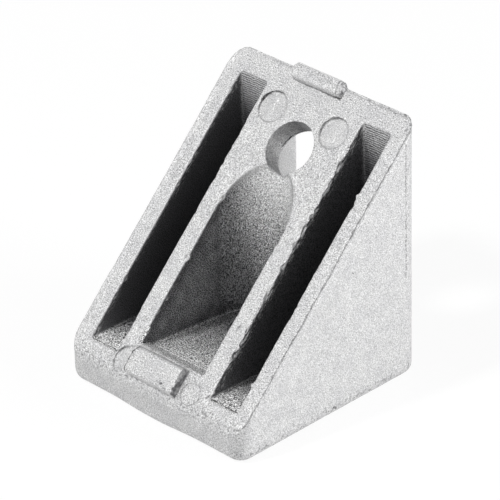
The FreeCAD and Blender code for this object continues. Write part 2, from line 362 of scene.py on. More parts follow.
# Single larger flakes and bites: across, up the face, and how far they reach across
burrs = ((16.1, 8.1, -0.55), (16.2, 40.7, -0.35), (-7.0, 21.0, 0.3), (10.2, 4.4, 0.3),
         (10.2, 12.2, 0.24), (10.2, 35.5, 0.35), (10.2, 44.2, 0.2))
burrSize = {"across": 0.4, "up": 0.35, "heights": (-1.0, -0.3)}
# Fine pits along the outer edges: where each edge's band lies, and how thick the pits are there
pits = {
    "size": 0.42,
    "above": 0.25,       # how much of the uneven field makes no pit
    "depth": 0.3,
    "front": ((-0.6, 0.1), (1.0, 2.0), 0.55),
    "crest": ((54.0, 54.5), (-14, -9), 0.35),
    "sole": ((1.2, 3.6), 17, 0.6),
    "deepest": 1.2,      # below the slanted face
    "tabHeights": (0.05, 0.2),
}

# Round marks of the ejector pins, each deeper towards its upper left, with a ring of painted shade:
# place across and up the face, depth, how dark its ring is, the angle in degrees where the ring is
# darkest, and the cosine of the turn from there at which it has faded to the least
marks = {
    "rows": (
        (-6.95, 47.94, 0.16, 1, 135, -0.1),
        (6.15, 47.94, 0.15, 0.8, 135, -0.1),
        (-7.4, 2.6, 0.04, 0.85, 168, 0.7),
    ),
    "least": 0.1,
    "full": 0.95,        # the cosine from which it is darkest
    "radius": 2.6,
    "level": 0.35,       # how deep the middle is, as a share
    "rim": 0.93,         # where the wall starts, as a share of the radius
}
# The lower right mark is nearly filled, with a thin ring left that gets painted shade
faintMark = {"place": (6.6, 2.6), "filled": 2.85, "fillDepth": 0.4, "radius": 1.8,
             "ringWidth": 0.13, "depth": 0.05, "dark": 0.4}

# The lower tab's left end lies farther out: how far, and from where to where across the face.
# Its edge gets a thin line of painted shade through these places, first up the face and then
# across.
tabLean = {"reach": -0.95, "start": 0.3, "length": 1.2, "end": 9, "inner": (3.0, 5.5),
           "outer": (5.9, 8.2), "heights": (-0.5, 0.1)}
tabEdge = ((0.8, 1.3, 2.1, 3.3, 4.4, 5.3), (-5.55, -6.1, -6.3, -6.3, -6.25, -5.6))
# The upper tab swells at its left end and breaks down in ridges at its right end
lobe = {"across": -5.2, "up": 54.7, "size": 1.2, "push": 0.8, "heights": (-0.3, 0.2)}
brokenEnd = {"across": (2.6, 4.9), "heights": (0.1, 0.4), "drop": 0.8, "ridge": 0.14,
             "pitch": 0.5, "slope": 0.25}
# Where the outline swells: by the foot of the front face, and along the left edge
swell = {
    "foot": 0.2,
    "footTop": (1.0, 2.4),
    "footBack": -20,
    "footAcross": ((-10, -2), (1, 9)),
    "left": 0.14,
    "leftLow": 0.16,
    "lowSpan": ((1.5, 4), (11, 16)),
    "leftEdge": (18.2, 19.0),
}
# The narrow pockets' upper ends lie a little farther up, left and right
pocketTop = {
    "left": 0.3,
    "right": 0.5,
    "across": ((9.6, 10.0), (16.3, 16.8)),
    "back": ((12.0, 13.3), (14.0, 15.6)),
    "below": 0.15,       # no higher above the slanted face
    "facing": 0.5,       # the back flange's own face stays where it is
}
# A pit low on the right side wall, with painted shade in it
sidePit = {"place": (-2.1, 1.6), "size": 0.45, "depth": 0.3, "past": 18, "dark": 0.9}


def seamDistance(points):
    # from the parting line, less than zero inside it
    along, _ = slantPlace(points)
    low, high = seam["ends"]
    halves = np.array([seam["halfWidth"], (high - low) / 2]) - seam["corner"]
    away = np.abs(np.stack([points[:, 0], along - (low + high) / 2], axis=1)) - halves
    distance = np.linalg.norm(np.maximum(away, 0), axis=1) + np.minimum(away.max(axis=1), 0)
    return distance - seam["corner"] + seam["jog"] * lumps(points, seam["jogSize"], 7)


def inPocket(points):
    # in one of the three pockets that open on the slanted face
    across = np.abs(points[:, 0])
    back = np.where(across < ribMiddle, body["roundEnd"], body["backWall"]) + spare["back"]
    inWidth = across < body["sideWall"] + spare["side"]
    return inWidth & (points[:, 1] < back) & (points[:, 2] > body["floor"] - spare["floor"])


def nickDepth(across, along, nick):
    # 1 in the middle of a nick, 0 outside it
    middle, up, length, width, turn, _ = nick
    cos, sin = math.cos(math.radians(turn)), math.sin(math.radians(turn))
    right, higher = across - middle, along - up
    away = np.hypot((right * cos + higher * sin) / length, (higher * cos - right * sin) / width)
    return np.clip(1 - away ** 2, 0, 1)


def pitDepth(points):
    # 1 in the middle of the pit on the right side wall, 0 outside it
    away = np.hypot(points[:, 1] - sidePit["place"][0], points[:, 2] - sidePit["place"][1])
    return np.clip(1 - (away / sidePit["size"]) ** 2, 0, 1) * (points[:, 0] > sidePit["past"])


def tornPart(points, number, share):
    # 1 where that rim is torn, 0 where it is whole
    low, high = tears["patchFrom"]
    patches = lumps(points, tears["patch"], tears["seeds"][1] + number)
    return ramp(patches, low - share, high - share)


def edgeBand(points):
    # how pitted a place is: along the front edge, the crest and the right sole, not on the tabs
    along, height = slantPlace(points)
    x = points[:, 0]
    notDeep = height > -pits["deepest"]
    up, down, front = pits["front"]
    band = front * between(along, up, down) * notDeep
    up, across, crest = pits["crest"]
    band += crest * ramp(along, *up) * ramp(x, *across) * notDeep
    down, past, sole = pits["sole"]
    band += sole * (1 - ramp(points[:, 2], *down)) * (x > past)
    onTab = (np.abs(x) < body["tabReach"]) * ramp(height, *pits["tabHeights"])
    return np.clip(band, 0, 1) * (1 - onTab)


def rimDamage(points, along, height):
    # moves the pockets' rims across the face, and gives how deep they are torn
    torn = np.zeros(len(points))
    stretched = np.stack([points[:, 0], tears["stretch"] * along, height], axis=1)
    inSpan = between(along, *tears["span"])
    tornSeed, _, flakeSeed = tears["seeds"]
    for number, (rim, side, amount, share, _) in enumerate(rims):
        here = tears["least"] + (1 - tears["least"]) * tornPart(points, number, share)
        near = hump(points[:, 0], rim, tears["width"]) * inSpan * here
        lump = lumps(points, tears["tornSize"], tornSeed + number)
        torn += tears["tornDepth"] * amount * near * lump
        flake = lumps(stretched, tears["flakeSize"], flakeSeed + number)
        flake = np.minimum(flake, tears["flakeMost"]) - tears["flakeShift"]
        points[:, 0] += side * amount * near * ramp(height, *tears["flakeHeights"]) * flake
    for rim, up, push in burrs:
        near = hump(points[:, 0], rim, burrSize["across"]) * hump(along, up, burrSize["up"])
        points[:, 0] += push * near * ramp(height, *burrSize["heights"])
    return np.maximum(torn, -tears["raised"]) * tears["deeper"]


def faceDrop(points, along):
    # how far the slanted face lies lower, by the seam, nicks, marks, pits and the left edge's swell
    distance = seamDistance(points)
    onRight = ramp(points[:, 0], *seam["fadeIn"])
    drop = seam["step"] * ramp(distance, -seam["stepWidth"], seam["stepWidth"]) * onRight
    drop += seam["groove"] * hump(distance, 0, seam["grooveWidth"]) * onRight
    left = swell["left"] + swell["leftLow"] * between(along, *swell["lowSpan"])
    drop -= left * ramp(-points[:, 0], *swell["leftEdge"])
    for nick in nicks:
        drop += nick[-1] * nickDepth(points[:, 0], along, nick)
    for across, up, tilt, _, _, _ in marks["rows"]:
        right, higher = (points[:, 0] - across) / marks["radius"], (along - up) / marks["radius"]
        within = ramp(-np.hypot(right, higher), -1.0, -marks["rim"])
        drop += tilt * np.clip((higher - right) / 2 + marks["level"], 0, 1) * within
    pitted = np.clip(lumps(points, pits["size"], 11) - pits["above"], 0, 1) * edgeBand(points)
    return drop + pits["depth"] * pitted


def roughness(points, normals, height):
    # how far the cast surface stands out of its even shape
    below, upward = skin["floorsAt"]
    floors = inPocket(points) & (height < below) & (normals[:, 2] > upward)
    crumpled = floors * np.where(np.abs(points[:, 0]) > ribMiddle, 1, skin["middleFloor"])
    rough = np.zeros(len(points))
    for number, (size, amount) in enumerate(skin["waves"]):
        rough += amount * lumps(points, size, skin["seed"] + number)
    for number, (size, amount) in enumerate(skin["floorRough"]):
        rough += crumpled * amount * lumps(points, size, skin["seed"] + 10 + number)
    size, amount = skin["tabEndRough"]
    above, sideways = skin["tabEndsAt"]
    tabEnd = (height > above) & (np.abs(normals[:, 0]) > sideways)
    return rough + tabEnd * amount * lumps(points, size, skin["seed"] + 20)


def wornPlaces(points, normals):
    # the skin's points after the die's seam, the damage and the unevenness of cast metal
    along, height = slantPlace(points)
    points = points.copy()
    onSlant = ramp(height, *skin["slantDepths"])

    atTop = between(np.abs(points[:, 0]), *pocketTop["across"]) * (height < pocketTop["below"])
    atTop = atTop * between(points[:, 1], *pocketTop["back"])
    shift = np.where(points[:, 0] > 0, pocketTop["right"], pocketTop["left"]) * atTop
    points += np.outer(shift * (normals[:, 1] < pocketTop["facing"]), slantUp)
    points[:, 0] -= sidePit["depth"] * pitDepth(points)

    # the filled mark
    right, higher = points[:, 0] - faintMark["place"][0], along - faintMark["place"][1]
    fromMark = np.hypot(right, higher)
    filled = (fromMark < faintMark["filled"]) & (height > -faintMark["fillDepth"])
    lift = np.where(filled, np.maximum(-height, 0), 0)
    ring = hump(fromMark, faintMark["radius"], faintMark["ringWidth"])
    lift -= faintMark["depth"] * ring * onSlant

    drop = faceDrop(points, along)
    drop += rimDamage(points, along, height)

    # the lower tab's left end, then the upper tab's two ends
    lean = np.clip((along - tabLean["start"]) / tabLean["length"], 0, 1) * (along < tabLean["end"])
    lean = lean * ramp(-points[:, 0], *tabLean["inner"]) * ramp(height, *tabLean["heights"])
    points[:, 0] += tabLean["reach"] * lean * (1 - ramp(-points[:, 0], *tabLean["outer"]))
    upperTab = (along > body["upperTab"]) * (np.abs(points[:, 0]) < body["wornReach"])
    upperTab = upperTab * ramp(height, *brokenEnd["heights"])
    fromLobe = np.hypot(points[:, 0] - lobe["across"], along - lobe["up"])
    points[:, 0] -= lobe["push"] * ramp(height, *lobe["heights"]) * hump(fromLobe, 0, lobe["size"])
    ridges = (points[:, 0] + brokenEnd["slope"] * along) * 2 * math.pi / brokenEnd["pitch"]
    broken = ramp(points[:, 0], *brokenEnd["across"]) * upperTab
    drop += broken * (brokenEnd["drop"] + brokenEnd["ridge"] * np.sin(ridges))
    points += np.outer(lift - drop * onSlant, slantNormal)

    foot = (1 - ramp(points[:, 2], *swell["footTop"])) * (points[:, 1] < swell["footBack"])
    foot = foot * between(points[:, 0], *swell["footAcross"])
    points[:, 1] -= swell["foot"] * foot
    points[:, 2] -= swell["foot"] * foot
    return points + normals * roughness(points, normals, height)[:, None]


def readMesh(mesh):
    # vertex places in millimetres, and their normals
    places = np.empty(len(mesh.vertices) * 3)
    mesh.vertices.foreach_get("co", places)
    normals = np.empty(len(mesh.vertices) * 3)
    mesh.vertices.foreach_get("normal", normals)
    return places.reshape(-1, 3) / mm, normals.reshape(-1, 3)


def evaluatedMesh(piece):
    # the piece's mesh as its modifiers make it, which are then taken off
    graph = bpy.context.evaluated_depsgraph_get()
    graph.update()
    mesh = bpy.data.meshes.new_from_object(piece.evaluated_get(graph))
    piece.modifiers.clear()
    return mesh


def makeReal(piece):
    # the piece keeps the mesh that its modifiers make
    old = piece.data
    piece.data = evaluatedMesh(piece)
    bpy.data.meshes.remove(old)


def softCopy(piece, rounds):
    # vertex places and normals after that many rounds of smoothing
    smooth = piece.modifiers.new("soft", "SMOOTH")
    smooth.factor = 0.5
    smooth.iterations = rounds
    mesh = evaluatedMesh(piece)
    places, normals = readMesh(mesh)
    bpy.data.meshes.remove(mesh)
    return places, normals


def buildCasting():
    shape = bmesh.new()
    shape.from_mesh(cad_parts["bracket_casting"].data)
    bmesh.ops.remove_doubles(shape, verts=shape.verts, dist=1e-6)
    mesh = bpy.data.meshes.new("castingSkin")
    shape.to_mesh(mesh)
    shape.free()
    piece = bpy.data.objects.new("castingSkin", mesh)
    bpy.context.scene.collection.objects.link(piece)
    grid = piece.modifiers.new("grid", "REMESH")
    grid.mode = "VOXEL"
    grid.voxel_size = skin["grid"] * mm
    makeReal(piece)
    print("grid", len(piece.data.vertices), "vertices")

    plain, _ = softCopy(piece, skin["soften"])
    soft, normals = softCopy(piece, skin["softenMore"])
    softest, _ = softCopy(piece, skin["softenTabs"])
    mean, varies = skin["softShare"]
    share = np.clip(mean + varies * lumps(plain, skin["softSize"], 1), 0, 1)
    along, height = slantPlace(plain)
    crisp = skin["crisp"]
    atRims = (np.abs(plain[:, 0]) < body["sideWall"] + crisp["past"]) & (along < crisp["upTo"])
    share = share * (1 - crisp["less"] * (atRims & (height > -crisp["depth"])))
    places = plain + (soft - plain) * share[:, None]
    places += (softest - places) * ramp(height, *skin["tabHeights"])[:, None]
    piece.data.vertices.foreach_set("co", (wornPlaces(places, normals) * mm).ravel())
    piece.data.update()
    thin = piece.modifiers.new("thin", "DECIMATE")
    thin.ratio = skin["triangles"] / (2 * len(piece.data.polygons))
    thin.use_collapse_triangulate = True
    makeReal(piece)
    # nothing stands past the solid's box
    places, _ = readMesh(piece.data)
    places = np.clip(places * mm, cadBox[0], cadBox[1])
    piece.data.vertices.foreach_set("co", places.ravel())
    piece.data.update()
    for face in piece.data.polygons:
        face.use_smooth = True
    print("casting skin", len(piece.data.polygons), "faces")
    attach(piece, "root")
    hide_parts("bracket_casting")
    return piece


castingSkin = buildCasting()

# Painted shade, kept on the skin's points: on the pockets' walls, corners and back walls, the
# hole's wall, the recess, the nicks, the side pit and the tabs' ends. Lengths in millimetres, tones
# from 0 to 1. A pair of places, depths or facings says where a change starts and where it is
# complete, and a mottle gives its size and its strength.
paintedShade = {
    "rim": (0.05, 0.22),   # below the slanted face, between which a wall turns dark
    "reach": 0.85,         # how deep the painted light gets into a pocket, as a share of its width
    "fade": 2.5,
    "roundShade": 0.75,    # how much less of it gets to the right side of the round end
    "shadeFrom": (2.4, 6.0),
    "shadeFacing": 0.6,
    "middleWall": 0.62,
    "middleLow": 0.12,
    "lowDepths": (5, 12),
    "middleDeep": 0.88,
    "mottle": (1.3, 0.26),
    "wallTop": 0.5,
    "wallTopDepth": 1.5,
    "wallFoot": 0.25,
    "wallFootTop": (7.6, 11.5),
    "roundRight": 0.5,
    "rightFrom": (3.0, 6.3),
    "rightDepths": (0.1, 0.4),
    "corner": 0.14,        # painted shade along the line where the middle pocket's left wall meets its round end
    "cornerPlace": (-0.95, 0.45, -6.7),
    "holeWall": ((-180, -150, -125, -95, 90, 118, 145, 165, 180),
                 (0.1, 0.35, 0.85, 0.6, 0.35, 0.75, 0.3, 0.14, 0.1)),   # painted shade on the hole's wall, by the angle in the hole
    "holeMottle": (0.45, 0.2),
    "holeEdge": -3.72,     # height of its inner edge, and where round it the wall turns dark
    "holeEdgeBand": (-0.2, 0.05),
    "holeFacing": 0.75,
    "holeHeights": (-9, -0.1),     # the hole's wall lies between these
    "recess": 0.15,
    "recessDepth": 2.5,
    "nick": 0.6,
    "nickDepth": 0.6,
    "tabEnd": 0.75,
    "upperTabEnd": 0.35,   # the upper tab's share of that
    "tabEndFacing": (0.3, 0.65),
    "tabEndHeights": (-0.05, 0.1),
    "tabEndMottle": (0.3, 0.5),
    "broken": 0.65,
    "brokenFrom": (2.9, 3.3),
    "brokenHeights": (0.1, 0.3),
    "brokenStretch": (1, 0.3, 0.3),
    "brokenStreaks": (0.22, (-0.2, 0.4)),   # size, and between which values they turn dark
    # painted shade on the narrow pockets' back walls
    "backWall": 0.32,
    "squarely": (0.7, 0.9),        # how squarely a face looks to the front or up
    "frontRamp": (-15.2, -13.2),
}
# How bright the painted light is on the pockets' floors, lips and front ramp, and the painted
# highlight on the upper tab's top, and how strongly places are speckled
paintedLightAndSpeckle = {
    "flat": (0.75, 0.9),   # how far a floor faces up
    "deep": (0.45, 0.9),
    "middleLit": 0.7,
    "rampLit": 0.3,
    "tabTopLit": 0.6,
    "tabTopFrom": 1,
    "tabTopHeights": (0.1, 0.5),
    "tabTopFacing": (0.2, 0.7),
    "lipLit": 0.8,
    "lipFrom": 5.7,
    "lipDepths": (0.05, 0.2),
    "lipFacing": (0.2, 0.5),
    "lipFades": (0.35, 0.8),
    "roundEnd": (0.95, 0.25, 0.6),   # on its walls, less where it faces up, and less higher up
    "roundHeights": (16, 30),
    "roundRight": (0.4, (14, 20)),   # how much less on the right, and from which heights
    "narrowWall": 0.3,
    "backWallLess": 0.85,
    "rampLess": 0.3,
    "slant": (0.12, (0.8, 0.95), -0.1),   # strength, facings and lowest height
    "front": (0.06, (0.8, 0.95)),
    "hole": 0.15,
}
# Thin lines of painted shade along steps, edges and creases: places up the slanted face, tones, and
# spans across the face. The side wall's dotted line is given by its distance back and the heights
# of its ends.
lineSet = {
    "faceHeight": 0.9,   # how far from the slanted face a line may lie
    "tabHeight": 0.15,   # above this it would be on a tab
    "gap": {"up": 5.7, "dark": 0.35, "across": ((-5.0, -4.0), (5.6, 6.4)), "below": 0.2},
    "tabFoot": {"up": 53.1, "dark": 0.9, "grows": (-12.0, 3.0), "across": (-5.7, 4.4),
                "below": 0.7},
    "lip": {"up": 3.42, "dark": 0.8, "across": ((10.3, 10.6), (15.6, 16.0)), "upTo": 6},
    "tabEdge": {"up": (0.5, 5.6), "above": 0.35, "leftOf": -4},
    "holeArc": (95, 125),
    "holeWidth": 0.6,
    "side": {"place": 13.87, "ends": (17.6, 41.3), "facing": 0.8, "inside": 0.2},
    "near": 0.6,         # past this a place is moved farther from every line
    "farther": 5,
    "none": 9.0,
}


def drawnLines(points):
    # signed distance to the nearest thin line of painted shade on the casting, and how dark that
    # line is
    along, height = slantPlace(points)
    across = points[:, 0]
    onFace = np.abs(height) < lineSet["faceHeight"]
    notOnTab = onFace * (height < lineSet["tabHeight"])
    lines = [(seamDistance(points), seam["dark"] * onFace * ramp(across, *seam["darkFrom"]))]
    # painted shade crescents round the marks, darkest at their upper left, and the filled mark's
    # ring
    for middle, up, _, most, darkest, fades in marks["rows"]:
        right, higher = across - middle, along - up
        turn = np.arctan2(higher, right) - math.radians(darkest)
        share = marks["least"] + (1 - marks["least"]) * ramp(np.cos(turn), fades, marks["full"])
        lines.append((np.hypot(right, higher) - marks["radius"], most * share * notOnTab))
    right, higher = across - faintMark["place"][0], along - faintMark["place"][1]
    lines.append((np.hypot(right, higher) - faintMark["radius"], faintMark["dark"] * notOnTab))
    # painted shade in the gap between the lower tab and the middle pocket's lip
    gap = lineSet["gap"]
    here = onFace * between(across, *gap["across"]) * (height < gap["below"])
    lines.append((along - gap["up"], gap["dark"] * here))
    # painted shade at the foot of the upper tab, darkest at its right end
    foot = lineSet["tabFoot"]
    left, right = foot["across"]
    here = (np.abs(height) < foot["below"]) * ramp(across, *foot["grows"])
    lines.append((along - foot["up"], foot["dark"] * here * (across > left) * (across < right)))
    # painted shade under the front lips of the narrow pockets
    lip = lineSet["lip"]
    here = onFace * between(np.abs(across), *lip["across"]) * (along < lip["upTo"])
    lines.append((along - lip["up"], lip["dark"] * here))
    # painted shade along the lower tab's left edge
    edge = lineSet["tabEdge"]
    low, high = edge["up"]
    onTab = (height > edge["above"]) & (along > low) & (along < high) & (across < edge["leftOf"])
    lines.append((across - np.interp(along, *tabEdge), onTab))
    # painted shade along the inner edge of the slanted hole, upper left
    angle, inHole = holeAngle(points)
    inArc = inHole * ramp(angle, *lineSet["holeArc"])
    lines.append((lineSet["holeWidth"] * (height - paintedShade["holeEdge"]), inArc))
    tones = np.stack([dark for _, dark in lines])
    distances = np.where(tones > 0, np.stack([away for away, _ in lines]), lineSet["none"])
    nearest = np.argmin(np.abs(distances), axis=0)
    picked = np.arange(len(points))
    distance = distances[nearest, picked]
    # far places are moved farther off, so that no line shows between two others
    far = np.abs(distance) > lineSet["near"]
    distance = np.where(far, distance + lineSet["farther"] * np.sign(distance), distance)
    return distance, tones[nearest, picked]


def holeAngle(points):
    # angle round the slanted hole in degrees, and 1 on its wall
    along, height = slantPlace(points)
    right, higher = points[:, 0], along - body["slantHole"]
    deepest, top = paintedShade["holeHeights"]
    inHole = np.hypot(right, higher) < body["slantHoleRadius"] + spare["hole"]
    return np.degrees(np.arctan2(higher, right)), inHole & (height < top) & (height > deepest)


def pocketTone(points, normals, depth, facing, middle):
    # painted shade on the pockets' walls and floors, and the share of painted light that gets to
    # them
    x, _, z = points.T
    width = np.where(middle, 2 * body["ribSides"][0], body["sideWall"] - body["ribSides"][1])
    paintedLight = facing * np.exp(-(depth / (paintedShade["reach"] * width)) ** paintedShade["fade"])
    shaded = middle * ramp(x, *paintedShade["shadeFrom"]) * (normals[:, 2] < paintedShade["shadeFacing"])
    paintedLight = paintedLight * (1 - paintedShade["roundShade"] * shaded)
    size, amount = paintedShade["mottle"]
    # painted shade, mottled, and stronger near the walls' tops and along their feet by the floor
    changes = amount * lumps(points, size, 90)
    changes += paintedShade["wallTop"] * hump(depth, 0, paintedShade["wallTopDepth"])
    changes += paintedShade["wallFoot"] * (1 - ramp(z, *paintedShade["wallFootTop"]))
    wall = paintedShade["middleWall"] + paintedShade["middleLow"] * ramp(depth, *paintedShade["lowDepths"])
    wall = wall + changes * (1 - facing)
    onRight = ramp(x, *paintedShade["rightFrom"]) * ramp(depth, *paintedShade["rightDepths"])
    wall = wall + paintedShade["roundRight"] * onRight
    most = np.where(middle, wall + (paintedShade["middleDeep"] - wall) * facing, 1)
    return most * (1 - paintedLight), paintedLight


def paintedDamageShade(points, normals, depth):
    # painted shade in the nicks and the side pit, on the tabs' ends that face right, and in streaks
    # on the upper tab's broken end
    x = points[:, 0]
    along, height = slantPlace(points)
    dark = sidePit["dark"] * pitDepth(points)
    for nick in nicks:
        dark += paintedShade["nick"] * nickDepth(x, along, nick) * (depth < paintedShade["nickDepth"])
    onUpper = along > body["upperTab"]
    endFace = ramp(normals[:, 0], *paintedShade["tabEndFacing"]) * (np.abs(x) < body["wornReach"])
    endFace = endFace * ramp(height, *paintedShade["tabEndHeights"])
    size, amount = paintedShade["tabEndMottle"]
    most = np.where(onUpper, paintedShade["upperTabEnd"], 1) * paintedShade["tabEnd"]
    dark += endFace * (most + amount * lumps(points, size, 92))
    broken = onUpper * (np.abs(x) < body["tabReach"]) * ramp(height, *paintedShade["brokenHeights"])
    size, span = paintedShade["brokenStreaks"]
    streaks = ramp(lumps(points * paintedShade["brokenStretch"], size, 93), *span)
    return dark + broken * ramp(x, *paintedShade["brokenFrom"]) * paintedShade["broken"] * streaks


def tornWalls(points, height, depth):
    # how far the walls just below the rims are covered in torn flakes, which get painted highlights
    torn = np.zeros(len(points))
    for number, (rim, _, _, share, reach) in enumerate(rims):
        here = hump(points[:, 0], rim, tears["wallWidth"]) * ramp(height, -reach, tears["wallTop"])
        here = here * ramp(depth, *tears["wallDepths"])
        least = tears["wallLeast"]
        torn += here * (least + (1 - least) * tornPart(points, number, share))
    return torn


def markFinishAndPaintedLight(piece):
    points, normals = readMesh(piece.data)
    x, y, z = points.T
    along, height = slantPlace(points)
    across, depth = np.abs(x), np.maximum(-height, 0)
    middle = across < ribMiddle
    facing = np.clip(np.maximum(normals @ slantNormal / slantSin, normals[:, 2]), 0, 1)
    inside = ramp(depth, *paintedShade["rim"]) * inPocket(points)
    tone, paintedLight = pocketTone(points, normals, depth, facing, middle)
    backWall = inside * ~middle * ramp(-normals[:, 1], *paintedShade["squarely"])
    frontRamp = inside * middle * (1 - ramp(y, *paintedShade["frontRamp"]))
    frontRamp = frontRamp * ramp(normals[:, 2], *paintedShade["squarely"])

    # painted shade on the pockets, and along the corner of the middle pocket's round end
    place, width, leftOf = paintedShade["cornerPlace"]
    dark = inside * (tone + paintedShade["corner"] * hump(y, place, width) * (x < leftOf))
    # painted shade in the recess behind the slanted hole, and on the hole's wall
    low, high = body["recess"]
    recess = (across < body["ribSides"][0] + spare["recess"]) & (y > low) & (y < high)
    dark = np.where(recess & (depth > paintedShade["recessDepth"]), paintedShade["recess"], dark)
    angle, inHole = holeAngle(points)
    size, amount = paintedShade["holeMottle"]
    holeDark = np.interp(angle, *paintedShade["holeWall"]) + amount * lumps(points, size, 91)
    low, high = paintedShade["holeEdgeBand"]
    holeDark *= ramp(height, paintedShade["holeEdge"] + low, paintedShade["holeEdge"] + high)
    dark = np.where(inHole & (normals[:, 1] < paintedShade["holeFacing"]), holeDark, dark)
    # painted shade in the nicks, the side pit, on the tabs' ends and on the side pockets' back
    # walls
    dark += paintedDamageShade(points, normals, depth) + paintedShade["backWall"] * backWall

    # painted light and highlights: floors, lips, the front ramp and the upper tab's top are painted
    # brighter
    tabTop = (along > body["upperTab"] + paintedLightAndSpeckle["tabTopFrom"]) * (across < body["tabReach"])
    tabTop = tabTop * ramp(height, *paintedLightAndSpeckle["tabTopHeights"])
    tabTop = tabTop * ramp(normals @ slantUp, *paintedLightAndSpeckle["tabTopFacing"])
    lip = middle * (along > paintedLightAndSpeckle["lipFrom"]) * (y < paintedShade["frontRamp"][1])
    lip = lip * ramp(depth, *paintedLightAndSpeckle["lipDepths"])
    flat = ramp(normals[:, 2], *paintedLightAndSpeckle["flat"])
    flat = np.maximum(flat, lip * ramp(normals[:, 2], *paintedLightAndSpeckle["lipFacing"]))
    deep = inside * np.maximum(ramp(depth, *paintedLightAndSpeckle["deep"]), flat)
    lit = deep * paintedLight * (1 - backWall) * np.where(middle, paintedLightAndSpeckle["middleLit"], 1)
    lit += paintedLightAndSpeckle["tabTopLit"] * tabTop + paintedLightAndSpeckle["rampLit"] * frontRamp
    lit += paintedLightAndSpeckle["lipLit"] * inside * lip * (1 - ramp(depth, *paintedLightAndSpeckle["lipFades"]))

    # the pockets are speckled where the blast was weak, and the outside faintly
    most, low, high = paintedLightAndSpeckle["roundEnd"]
    roundEnd = most - facing * (low + high * ramp(z, *paintedLightAndSpeckle["roundHeights"]))
    less, span = paintedLightAndSpeckle["roundRight"]
    roundEnd = roundEnd * (1 - less * ramp(x, *paintedShade["rightFrom"]) * ramp(z, *span))
    wall = np.where(middle, roundEnd, paintedLightAndSpeckle["narrowWall"])
    speckle = deep * (wall + (1 - wall) * flat) * (1 - paintedLightAndSpeckle["backWallLess"] * backWall)
    speckle = speckle * (1 - paintedLightAndSpeckle["rampLess"] * frontRamp)
    amount, span, lowest = paintedLightAndSpeckle["slant"]
    outside = amount * ramp(normals @ slantNormal, *span) * (height > lowest)
    amount, span = paintedLightAndSpeckle["front"]
    outside += amount * ramp(-normals[:, 1], *span)

    side = lineSet["side"]
    low, high = side["ends"]
    onSide = (normals[:, 0] > side["facing"]) & (across > body["half"] - side["inside"])
    onSide = onSide & (z > low) & (z < high)
    line, lineDark = drawnLines(points)
    layers = {
        # painted shade, then painted light and highlights
        "dark": np.clip(dark, 0, 1),
        "paintedLight": np.clip(lit, 0, 1),
        "speckle": np.where(inHole, paintedLightAndSpeckle["hole"], speckle) + outside,
        "torn": np.clip(tornWalls(points, height, depth), 0, 1),
        "pitted": edgeBand(points),
        "tooled": backWall + finishAndPaintedLight["rampTooled"] * frontRamp,
        "toolPlace": np.where(backWall > frontRamp, z, finishAndPaintedLight["rampCount"] * y),
        "line": line,
        "lineDark": np.clip(lineDark, 0, 1),
        "sideLine": np.where(onSide, y - side["place"], lineSet["none"]),
    }
    for name, values in layers.items():
        layer = piece.data.attributes.new(name, "FLOAT", "POINT")
        layer.data.foreach_set("value", values.astype(np.float32))
    return list(layers)


# Die-cast aluminium, blasted to an even matt grain: its faint oxide scatters about as much light
# as the metal mirrors. The pockets' walls, hollows, creases and edges get painted shade, and their
# floors and lips painted light. Sizes in millimetres.
finishAndPaintedLight = {
    "pale": "#c6c6c6",
    "patch": "#bdbdbe",
    # painted light on floors, lips and the front ramp, and painted highlights on the upper tab's
    # top and on torn flakes
    "floor": "#ececec",
    # painted shade on the pockets' walls, hollows and the tabs' ends
    "wall": "#616163",
    # painted shade lines, the side wall's dots and the edges' pits
    "line": "#353535",
    "metallic": 0.5,
    "toolPitch": 0.38,
    "toolTone": 0.5,
    "toolRelief": 0.5,
    "rampTooled": 0.8,     # the front ramp's ridges: how strong, and how many there are for
    "rampCount": 0.6,      # each one on a back wall
    "bump": 0.06,
    "lineCore": 0.4,       # the fully dark share of a line's width
    "darkest": 0.08,
    "tornSize": (0.22, 0.9, 0.2),   # across, along and below the slanted face
    # size and detail of each noise; the blast's real grain is finer than 0.175 mm, and it is
    # drawn that coarse so that it shows
    "noises": {"grain": (0.175, 0), "patches": (2.4, 3), "wander": (0.7, 1), "blobs": (1.1, 1),
               "dots": (0.45, 0), "pits": (0.38, 0), "drift": (0.9, 1)},
    # what a noise or a stored tone is turned into: from low and high, to low and high
    "spans": {
        "wander": (0.3, 0.7, -0.06, 0.06),
        "lineWidth": (0.35, 0.68, 0.078, 0.247),
        "lineStrength": (0.3, 0.6, 0.55, 1.0),
        "dotLine": (0.05, 0.15, 0.65, 0.0),
        "dots": (0.42, 0.58, 0.12, 1.0),
        "pits": (0.6, 0.68, 0.0, 0.8),
        "ridgeDrift": (0.2, 0.8, -0.12, 0.12),
        "flakes": (0.54, 0.62, 0.0, 0.9),
        "patches": (0.35, 0.65, 0.0, 1.0),
        "contrast": (0.0, 1.0, 1.1, 6.0),
        "relief": (0.0, 1.0, 1.0, 0.3),
        "roughness": (0.0, 1.0, 0.6, 0.45),
    },
}

layerNames = markFinishAndPaintedLight(castingSkin)
print("finish marked")


